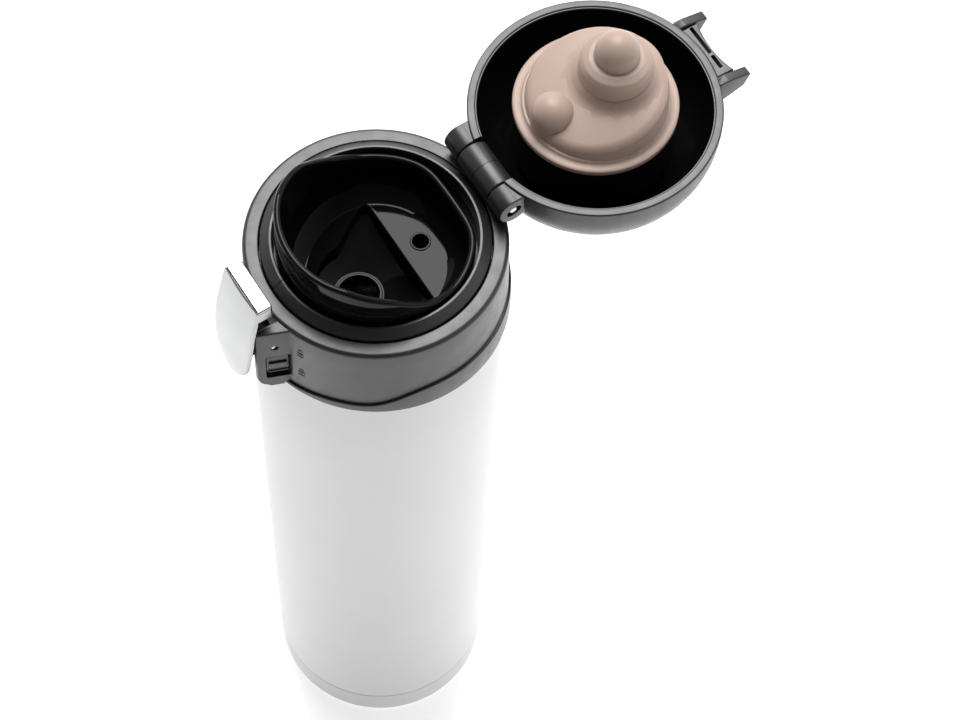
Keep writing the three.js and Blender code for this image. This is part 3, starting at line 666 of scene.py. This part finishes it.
def cup():
    base = cup_outline()
    n = len(base)
    ang = [2 * math.pi * i / n for i in range(n)]
    P = np.array(base)
    nrm = []
    for i in range(n):
        t = P[(i + 1) % n] - P[i - 1]; t /= np.linalg.norm(t)
        nrm.append(np.array([t[1], -t[0]]))
    nrm = np.array(nrm)
    if (nrm[0] @ P[0]) < 0: nrm = -nrm
    loops = []

    def level(d, zf):
        loops.append([(P[i][0] - nrm[i][0] * d, P[i][1] - nrm[i][1] * d, zf(i)) for i in range(n)])
    h = [rim_z(a) for a in ang]
    lip = CUP_WALL / 2
    level(0.02, lambda i: 210.6)
    level(0.0, lambda i: 216.6)
    for z in (220.0, 224.0, 227.0, 229.0):
        level(0, lambda i, z=z: z)
    level(0, lambda i: 229.0 + (h[i] - lip - 229.0) * 0.5)
    for k in range(9):
        q = math.pi * k / 8
        level(lip - lip * math.cos(q), lambda i, q=q: h[i] - lip + lip * math.sin(q))
    level(CUP_WALL, lambda i: 229.0 + (h[i] - lip - 229.0) * 0.5)
    for z in (229.0, 226.5):
        level(CUP_WALL, lambda i, z=z: z)
    R = 5.2
    for k in range(9):
        q = math.pi / 2 * k / 8
        lp = []
        for i in range(n):
            d = CUP_WALL + R * (1 - math.cos(q))
            px, py = P[i][0] - nrm[i][0] * d, P[i][1] - nrm[i][1] * d
            # towards the floor the outline eases into a full circle
            w = (1 - math.cos(q)) ** 1.0
            l = math.hypot(px, py)
            cr = 18.4
            px, py = px * (1 - w) + px / l * cr * w, py * (1 - w) + py / l * cr * w
            zf = floor_z(py)
            lp.append((px, py, zf + R * (1 - math.sin(q))))
        loops.append(lp)
    last = loops[-1]
    for f in [1 - k / 26 for k in range(1, 26)]:
        loops.append([(p[0] * f, p[1] * f, floor_z(p[1] * f)) for p in last])
    A = loft("cup_top", loops)
    low = slab("low", [(-25.2, 200), (25.2, 200), (25.2, 216.4), (7.3, 216.4), (-25.2, 216.4 - SLOPE * 32.5)], -26, 26, "x", 0, 0)
    boolean(low, lathe("lr", [(0, 199), (25.2, 199), (25.2, 217), (0, 217)], 128), "INTERSECT")
    cut(A, low)
    prof = rounded([(24.9, 204.2, 0), (26.7, 204.2, 0.2), (27.2, 204.8, 0.3), (27.2, 224.9, 0.2), (29.35, 225.9, 0.2), (29.35, 226.9, 0.2), (25.0, 226.9, 0), (25.0, 217.5, 0)], closed=True)
    B = lathe("cup_low", prof, 160, closed=True)
    join(A, B)
    C = slab("pocket_wall", tear(1.6), POCKET_Z - 1.8, 217.6, "z", 0.4, 0.0)
    boolean(C, slab("cl", [(-25, 200), (25, 200), (25, 217.9), (7.3, 217.9), (-25, 217.9 - SLOPE * 32.3)], -26, 26, "x", 0, 0), "INTERSECT")
    join(A, C)
    # pocket with eased top edge and rounded floor
    t0 = tear(0)
    lp = []
    for k in range(5):
        q = math.pi / 2 * k / 4
        lp.append((POCKET_Z + 0.9 * (1 - math.sin(q)), 0.9 * (1 - math.cos(q))))
    lp = lp[::-1]
    lp += [(FLOOR_Z - 0.5, 0.0)]
    for k in range(1, 5):
        q = math.pi / 2 * k / 4
        lp.append((FLOOR_Z - 0.5 + 0.5 * math.sin(q), -0.5 * (1 - math.cos(q))))
    lp += [(FLOOR_Z + 0.02, -0.52), (226.0, -0.52)]
    pk = loft("pocket", [[(p[0], p[1], z) for p in inset(t0, d)] for z, d in lp])
    boolean(pk, lathe("fn", rounded([(0, POCKET_Z), (6.6, POCKET_Z, 1.0), (24, POCKET_Z + 7.3), (24, 232), (0, 232)]), 96, DRINK_Y), "INTERSECT")
    cut(A, pk)
    # raised rings round the two holes, then the holes
    ring = lathe("vr", rounded([(VENT_R - 0.3, FLOOR_Z - 0.5, 0), (VENT_R + 0.85, FLOOR_Z - 0.5, 0), (VENT_R + 0.65, FLOOR_Z + 0.28, 0.2), (VENT_R - 0.3, FLOOR_Z + 0.28, 0)], closed=True), 48, VENT_Y, closed=True)
    join(A, ring)
    ring = lathe("dr", rounded([(DRINK_R - 0.3, POCKET_Z - 0.5, 0), (DRINK_R + 1.0, POCKET_Z - 0.5, 0), (DRINK_R + 0.7, POCKET_Z + 0.35, 0.25), (DRINK_R - 0.3, POCKET_Z + 0.35, 0)], closed=True), 96, DRINK_Y, closed=True)
    join(A, ring)

    def hole(r, y, z, seg):
        f = 0.25
        return lathe("h", [(0, 200), (r, 200), (r, z - f), *[(r + f * (1 - math.cos(math.pi / 2 * k / 4)), z - f + f * math.sin(math.pi / 2 * k / 4)) for k in range(1, 5)], (r + f + 0.02, z + 3), (0, z + 3)], seg, y)
    cut(A, hole(DRINK_R - 0.05, DRINK_Y, POCKET_Z + 0.35, 96), hole(VENT_R, VENT_Y, FLOOR_Z + 0.28, 48))
    finish_piece(A, "head", ["spout_cup"], BLACK, 40)


def head_small():
    prof = rounded([(28.4, 224.8, 0.1), (29.4, 224.8, 0.2), (29.4, 225.35, 0.15), (28.4, 225.1, 0.1)], closed=True)
    finish_piece(lathe("cup_seal", prof, 128, closed=True), "head", ["spout_seal"], CLEAR)
    # torsion spring kept inside the barrel
    path = []
    n = 220
    for i in range(n + 1):
        a = 2 * math.pi * 8 * i / n
        path.append((-4.2 + 8.4 * i / n, HY + 2.35 * math.cos(a), HZ + 2.35 * math.sin(a)))
    finish_piece(tube("lid_spring", path, 0.36, 10), "head", ["hinge_spring"], STEEL)
    path = []
    for i in range(n + 1):
        a = 2 * math.pi * 5 * i / n
        path.append((1.8 * math.cos(a), -39.12 + 6.17 * i / n, 214.2 + 1.8 * math.sin(a)))
    finish_piece(tube("button_spring", path, 0.29, 10), "head", ["latch_spring"], STEEL)
    p = rod("button_pin", 0.72, -9.75, 9.75, "x", (PIN_Y, PIN_Z), 32, 0.2, 0.2)
    finish_piece(p, "head", ["latch_pin"], STEEL)


# ---------------------------------------------------------------- lid
def lid():
    out = dome(0, 44)
    ins = dome(LID_WALL, 36)
    t = OPEN_RIM
    # rim: outer edge eased, inner step under the lining
    prof = [*out[::-1][:-1]]
    prof = [p for p in prof if p[1] < t - 0.9]
    rim = rounded([(prof[-1][0], prof[-1][1]), (LID_R, t - 0.9, 0), (LID_R, t, 0.75), (LID_R - 2.25, t, 0.45), (LID_R - 2.25, t - 0.9, 0.1), (LID_R - LID_WALL, t - 1.0, 0), ins[2]])
    prof = prof + rim[1:-1] + [p for p in ins if p[1] < t - 1.6]
    o = lathe("lid_dome", prof, 224, LID_Y)
    inside = lambda: lathe("in", [(0, t + 3), (LID_R - LID_WALL, t + 3), (LID_R - LID_WALL, t - 1.0), *[p for p in ins if p[1] < t - 1.6]], 160, LID_Y)
    for s in (1, -1):
        a, b = (7.2, 13.5) if s > 0 else (-13.5, -7.2)
        k = rod("kn", HR, a, b, "x", (HY, HZ), 64, 0.35, 0.35)
        w = slab("kw", [(HY + 0.2, 233.4), (HY + 5.2, 233.4), (HY + 5.2, OPEN_RIM - 0.65), (HY + 0.2, OPEN_RIM - 0.65, 0.6)], a, b, "x", 0.35, 0.35)
        join(k, w)
        cut(k, inside())
        join(o, k)
    side = [(31.0, t - 0.05), (33.5, t - 0.1, 1), (40.1, 239.6, 0.5), (40.4, 238.9, 0.4), (38.6, 235.2, 0.9), (33, 233.2, 1), (31.0, 233.2)]
    for (a, b) in ((8.7, 11.4), (-11.4, -8.7)):
        f = slab("fin", [(LID_Y + p[0], p[1], p[2] if len(p) > 2 else 0) for p in side], a, b, "x", 0.35, 0.35)
        cut(f, inside())
        join(o, f)
    cut(o, rod("nt", 6.5, -7.3, 7.3, "x", (HY, HZ), 64, 0, 0), rod("ph", 1.5, -20, 20, "x", (HY, HZ), 32, 0, 0))
    # slot in each knuckle's end that shows the pin
    for a, b in ((12.0, 14), (-14, -12.0)):
        d = np.array([0.90, 0.43])
        q = []
        for k in range(24):
            an = 2 * math.pi * k / 24
            v = np.array([math.cos(an), math.sin(an)])
            c = d * (0.75 if v @ d > 0 else -0.75)
            q.append((HY + c[0] + 1.45 * v[0], HZ + c[1] + 1.45 * v[1]))
        cut(o, slab("slot", q, a, b, "x", 0, 0))
    finish_piece(o, "lid", ["lid_shell"], GREY, 34)


def lining():
    off = LID_WALL + GAP
    out = dome(off, 36)
    ins = dome(off + LINER_WALL, 36)
    t = OPEN_RIM - 0.35
    a = [p for p in out[::-1] if p[1] < t - 0.8]
    b = [p for p in ins if p[1] < t - 0.8]
    lip = rounded([a[-1], (LID_R - off, t - 0.3, 0), (LID_R - off, t, 0.2), (LID_R - off - LINER_WALL, t, 0.4), (LID_R - off - LINER_WALL, t - 0.7, 0), b[0]])
    o = lathe("lid_lining", a[:-1] + lip + b[1:], 224, LID_Y)
    cut(o, rod("nt", 6.5, -7.3, 7.3, "x", (HY, HZ), 48, 0, 0), rod("kn", HR + 0.3, -14, 14, "x", (HY, HZ), 48, 0, 0))
    finish_piece(o, "lid", ["lid_liner"], LID_GLOSS, 34)

    crown = OPEN_RIM - LID_H + LID_WALL + GAP + LINER_WALL
    prof = rounded([(0, crown + 0.35), (7, crown + 0.4, 2), (11, crown + 1.0, 2), (14.5, 219.4, 2), (19.6, 222.5, 1.5), (20.6, 224.5, 0.8), (20.6, 241.0, 0.5), (0, 241.0)])
    o = lathe("stopper_base", prof, 128, LID_Y)
    finish_piece(o, "lid", ["stopper_holder"], LID_GLOSS)


FACE_Z, FACE_TILT = 249.6, 0.177


def face_z(x, y):
    """height of the stopper's slightly domed, rising face"""
    q = min(1.0, (x * x + (y - LID_Y) ** 2) / 17.9 ** 2)
    return FACE_Z + FACE_TILT * (y - LID_Y) + 2.4 * (1 - q)


def on_face(y0):
    """marks above 900 follow the stopper's sloping face"""
    def f(a, r, z):
        y = y0 - r * math.cos(a)
        return face_z(r * math.sin(a), y) + (z - 1000) if z > 900 else z
    return f


def stopper():
    s = 241.3
    big, small = 2 * HY - DRINK_Y, 2 * HY - VENT_Y
    prof = rounded([(0, s), (21.35, s, 0.45), (21.35, s + 1.75, 0.55), (20.6, s + 1.95, 0.3), (0, s + 1.9)])
    o = lathe("stopper", prof, 160, LID_Y)
    prof = [(0, s + 0.5), (18.8, s + 0.5), (18.75, s + 1.4)]
    prof += [(18.75 - 0.75 * t, 998.0 - 2.4 * (1 - t)) for t in (0.5, 0.75)]
    prof += [(16.2 + 1.9 * math.cos(q), 998.15 + 1.85 * math.sin(q)) for q in np.linspace(0.08, math.pi / 2, 12)]
    prof += [(r, 1000.0) for r in (15.0, 13.5, 12.0, 10.0, 8.0, 6.0, 4.0, 2.0)] + [(0, FACE_Z + 2.4)]
    join(o, lathe("wedge", prof, 192, LID_Y, zmap=on_face(LID_Y)))
    # soft groove filling where the wedge meets the flange
    prof = rounded([(18.2, s + 1.0, 0), (19.6, s + 1.8, 0), (19.15, s + 2.1, 0.2), (18.8, s + 2.7, 0.2), (18.2, s + 2.7, 0)], closed=True)
    join(o, lathe("wf", prof, 160, LID_Y, closed=True))
    r = 9.6
    body = [(0, 246, 0), (r + 0.25, 246, 0), (r + 0.2, 251.0, 0), (r, 254.5, 0), (r - 0.15, 257.3, 1.2), (8.7, 258.9, 1.0), (7.0, 259.65, 0.6), (5.85, 259.75, 0.2), (5.72, 261.0, 0)]
    prof = rounded(body, step=9) + [(5.72 * math.cos(q), 261.5 + 5.75 * math.sin(q)) for q in np.linspace(0.03, math.pi / 2 - 0.02, 16)] + [(0, 267.25)]
    join(o, lathe("big", prof, 96, big))
    prof = rounded([(0, 242.5, 0), (5.6, 242.5, 0), (5.6, 247.8, 0)]) + [(5.6 * math.cos(q), 248.0 + 5.6 * math.sin(q)) for q in np.linspace(0.03, math.pi / 2 - 0.02, 16)] + [(0, 253.6)]
    join(o, lathe("small", prof, 96, small))
    # soft fillet where the large stopper stands on the face
    join(o, lathe("f1", rounded([(9.0, 999.2, 0), (12.6, 999.9, 0), (11.0, 1000.5, 1.5), (9.95, 1001.9, 0.6), (9.0, 1001.9, 0)], closed=True), 96, big, closed=True, zmap=on_face(big)))
    finish_piece(o, "lid", ["stopper_gasket"], SILI, 50)


def catch():
    outer = []
    for i in range(25):
        x = -8.4 + i * 16.8 / 24
        outer.append((x, LID_Y + 35.6 + 1.3 * (abs(x) / 8.4) ** 2, 0))
    pts = outer + [(8.4, LID_Y + 30.6, 0), (-8.4, LID_Y + 30.6, 0)]
    o = slab("catch_bar", pts, 237.3, 240.2, "z", 0.3, 0.3)
    cut(o, lathe("lo", [(0, OPEN_RIM + 2), (LID_R + GAP, OPEN_RIM + 2), *dome(-GAP, 24)], 160, LID_Y))
    # recess with a cross rib
    for x0, x1 in ((-8.0, 1.2), (2.0, 6.4)):
        cut(o, slab("re", [(x0, LID_Y + 33.9, 0.2), (x1, LID_Y + 33.9, 0.2), (x1, LID_Y + 35.0, 0.2), (x0, LID_Y + 35.0, 0.2)], 238.2, 241, "z", 0, 0))
    finish_piece(o, "lid", ["lid_catch"], GREY)
    p = rod("hinge_axle", 1.22, -13.25, 13.25, "x", (HY, HZ), 40, 0.5, 0.5)
    finish_piece(p, "lid", ["hinge_pin"], STEEL)


# ---------------------------------------------------------------- latch
def interp(table, v):
    xs = [t[0] for t in table]; ys = [t[1] for t in table]
    return float(np.interp(v, xs, ys))


FRONT = sorted([(239.7, -39.2), (235.5, -40.4), (229.5, -41.6), (223.0, -42.7), (216.0, -43.5), (210.5, -44.0), (206.2, -44.1)])
BACK = sorted([(239.7, -38.6), (235.2, -38.9), (229.5, -40.4), (223.0, -41.3), (216.0, -42.0), (210.5, -42.5), (206.2, -42.6)])
HALF = sorted([(239.7, 8.1), (233, 8.6), (226, 8.9), (220, 8.8), (214.5, 8.3), (210.4, 7.0), (207.6, 4.6), (206.55, 2.9), (206.2, 1.4)])


def smooth_tab(tab, k=60):
    zs = np.linspace(tab[0][0], tab[-1][0], k)
    v = np.interp(zs, [t[0] for t in tab], [t[1] for t in tab])
    for _ in range(6):
        v[1:-1] = 0.25 * v[:-2] + 0.5 * v[1:-1] + 0.25 * v[2:]
    return zs, v


def button():
    zs, fr = smooth_tab(FRONT)
    _, bk = smooth_tab(BACK)

    def section(z, w, yf, yb, e, crown, n=15):
        """closed outline in X,Y at height z: front face with soft corners, flat back"""
        e = min(e, w * 0.6, (yb - yf) * 0.45)
        pts = []
        m = 6
        # left side, from back to front
        pts.append((-w, yb))
        for k in range(m + 1):
            q = math.pi / 2 * k / m
            pts.append((-w + e * (1 - math.cos(q)), yf + e * (1 - math.sin(q))))
        for k in range(1, n):
            x = -(w - e) + 2 * (w - e) * k / n
            pts.append((x, yf - 0.0))
        for k in range(m, -1, -1):
            q = math.pi / 2 * k / m
            pts.append((w - e * (1 - math.cos(q)), yf + e * (1 - math.sin(q))))
        pts.append((w, yb))
        out = []
        for x, y in pts:
            u = min(1.0, abs(x) / max(w, 1e-3))
            out.append((x, y + (crown * (u * u) if y < yb - 1e-6 else 0.0), z))
        return out
    levels = []
    # rounded lower tip
    zt = [206.2, 206.24, 206.35, 206.6, 207.0, 207.5, 208.2, 209.0, 210.0, 211.2, 212.6, 214.2, 216.0, 218.5, 221.0, 223.5, 226.0, 229.0, 232.0, 234.5, 236.5, 238.2, 239.0, 239.3, 239.55, 239.7]
    wt = []
    for z in zt:
        wt.append(interp(HALF, z))
    for z, w in zip(zt, wt):
        yf = float(np.interp(z, zs, fr)); yb = float(np.interp(z, zs, bk))
        if z > 239.2:
            t = (z - 239.2) / 0.5
            d = 0.35 * (1 - math.sqrt(max(0, 1 - t * t)))
            w -= d; yf += d
        if z < 206.7:
            t = (206.7 - z) / 0.5
            yf += 0.45 * (1 - math.sqrt(max(0, 1 - t * t)))
        levels.append(section(z, w, yf, yb, 0.55, 0.5 * min(1.0, w / 8.0)))
    o = loft("latch_face", levels)
    # hook at the top
    w0 = 8.1
    hook = []
    for z, d in round_levels(235.2, BUTTON_TOP, 0.5, 0.45, 4):
        w = interp(HALF, z)
        yf = float(np.interp(z, zs, fr)) + 0.35
        pts = rounded([(-w + 0.1, yf, 0.2), (w - 0.1, yf, 0.2), (w - 0.25, -34.3, 0.7), (-w + 0.25, -34.3, 0.7)], closed=True)
        hook.append([(p[0], p[1], z) for p in inset(pts, d)])
    join(o, loft("hook", hook))
    # fine parting groove round the hook's flanks, just under the top plate
    for s in (1, -1):
        g = block("gr", s * 8.05 - 0.16, s * 8.05 + 0.3, -38.7, -33.9, 238.75, 238.97)
        cut(o, g)
    finish_piece(o, "button", ["latch_button"], CHROME, 32)

    pts = [(-40.1, 228.8, 0.2), (-40.95, 223.0), (-41.6, 217.0), (-42.1, 211.5, 0.2), (-41.0, 211.5, 0.2), (-40.0, 217.5, 0.6), (-38.0, 219.3, 0.8), (-36.5, 220.0), (-34.6, 220.2, 0.8), (-33.35, 221.6, 0.6),
           (-33.35, 223.8, 0.6), (-34.6, 225.2, 0.8), (-36.6, 226.0, 0.8), (-38.3, 227.4, 0.6), (-39.4, 228.8, 0.2)]
    o = slab("latch_arm", pts, -6.55, 6.55, "x", 0.3, 0.3)
    cut(o, rod("lh", 1.28, -9, 9, "x", (PIN_Y, PIN_Z), 28, 0, 0))
    finish_piece(o, "button", ["latch_lever"], DARK)


def slider():
    slx = lambda y: 8.3 + (y + 40.2) * (3.1 / 8.2)
    y0, y1, z0, z1 = -37.7, -32.2, 210.7, 218.4
    pts = [(7.3, y0), (slx(y0) - 0.28, y0, 0.3), (slx(y1) - 0.28, y1, 0.3), (7.3, y1)]
    o = slab("lock_slide", pts, z0, z1, "z", 0.3, 0.3)
    grip = slab("grip", [(8.0, -37.25), (slx(-37.25) + 0.25, -37.25, 0.25), (slx(-32.75) + 0.25, -32.75, 0.25), (8.0, -32.75)], 213.4, 215.4, "z", 0.25, 0.25)
    join(o, grip)
    lip = slab("lip", [(8.0, -37.45), (slx(-37.45) + 0.05, -37.45, 0.2), (slx(-32.45) + 0.05, -32.45, 0.2), (8.0, -32.45)], 210.75, 211.35, "z", 0.2, 0.2)
    join(o, lip)
    cut(o, lathe("bo", [(0, 200), (33.3, 200), (33.3, 232), (0, 232)], 96))
    finish_piece(o, "slider", ["lock_slider"], DARK)


flask(); skirt(); collar(); inner_ring(); cup(); head_small(); lid(); lining(); stopper(); catch(); button(); slider()

# ---------------------------------------------------------------- floor, light, camera
bpy.ops.mesh.primitive_plane_add(size=14, location=(0, 0, -0.0002))
floor = bpy.context.object
floor.name = "studio_floor"
F = Mat("studio_floor")
F.link(F.ramp(F.noise(3, 2), 0.915, 0.925), F.b.inputs["Base Color"])
F.link(F.ramp(F.noise(40, 3), 0.10, 0.14), F.b.inputs["Roughness"])
set_in(F.b, Specular_IOR_Level=0.3, Emission_Strength=0.5)
F.b.inputs["Emission Color"].default_value = (1, 1, 1, 1)
floor.data.materials.append(F.m)

world = bpy.data.worlds.new("studio")
bpy.context.scene.world = world
world.use_nodes = True
nt = world.node_tree
bg = nt.nodes["Background"]
tc = nt.nodes.new("ShaderNodeTexCoord")
dot = nt.nodes.new("ShaderNodeVectorMath")
dot.operation = "DOT_PRODUCT"
nt.links.new(tc.outputs["Generated"], dot.inputs[0])
dot.inputs[1].default_value = (-0.5, 0.75, -0.5)
ramp = nt.nodes.new("ShaderNodeValToRGB")
mr = nt.nodes.new("ShaderNodeMapRange")
mr.inputs["From Min"].default_value = -1.0
mr.inputs["From Max"].default_value = 1.0
nt.links.new(dot.outputs["Value"], mr.inputs["Value"])
ramp.color_ramp.elements[0].position = 0.08
ramp.color_ramp.elements[0].color = (0.12, 0.12, 0.12, 1)
ramp.color_ramp.elements[1].position = 0.92
ramp.color_ramp.elements[1].color = (1.1, 1.1, 1.1, 1)
e = ramp.color_ramp.elements.new(0.5)
e.color = (0.70, 0.70, 0.70, 1)
nt.links.new(mr.outputs["Result"], ramp.inputs["Fac"])
nt.links.new(ramp.outputs["Color"], bg.inputs["Color"])
bg.inputs["Strength"].default_value = 1.0


def area(name, loc, target, size, power, shape="RECTANGLE", size_y=None):
    l = bpy.data.lights.new(name, "AREA")
    l.energy = power; l.size = size; l.shape = shape
    if size_y: l.size_y = size_y
    o = bpy.data.objects.new(name, l)
    o.location = loc
    o.rotation_euler = (Vector(target) - Vector(loc)).to_track_quat("-Z", "Y").to_euler()
    bpy.context.scene.collection.objects.link(o)
    return o


area("key", (-0.61, 0.38, 1.54), (0, 0, 0.23), 1.0, 28.0, size_y=1.0)

cam = bpy.data.cameras.new("cam")
co = bpy.data.objects.new("cam", cam)
bpy.context.scene.collection.objects.link(co)
right = Vector((0.51813, 0.85529, 0.00484)); up = Vector((-0.74993, 0.45157, 0.48342)); fwd = Vector((-0.41127, 0.25410, -0.87538))
m = Matrix.Identity(4)
for i in range(3):
    m[i][0], m[i][1], m[i][2] = right[i], up[i], -fwd[i]
    m[i][3] = (0.38169, -0.22215, 0.96963)[i]
co.matrix_world = m
cam.sensor_width = 36
cam.lens = 3400 * 36 / 960
cam.shift_x = (480 - 420.524) / 960
cam.shift_y = (355.954 - 360) / 960
cam.clip_start = 0.05
bpy.context.scene.camera = co
sc = bpy.context.scene
sc.view_settings.view_transform = "Standard"
sc.view_settings.look = "None"
sc.view_settings.exposure = 0.0
sc.view_settings.gamma = 1.0
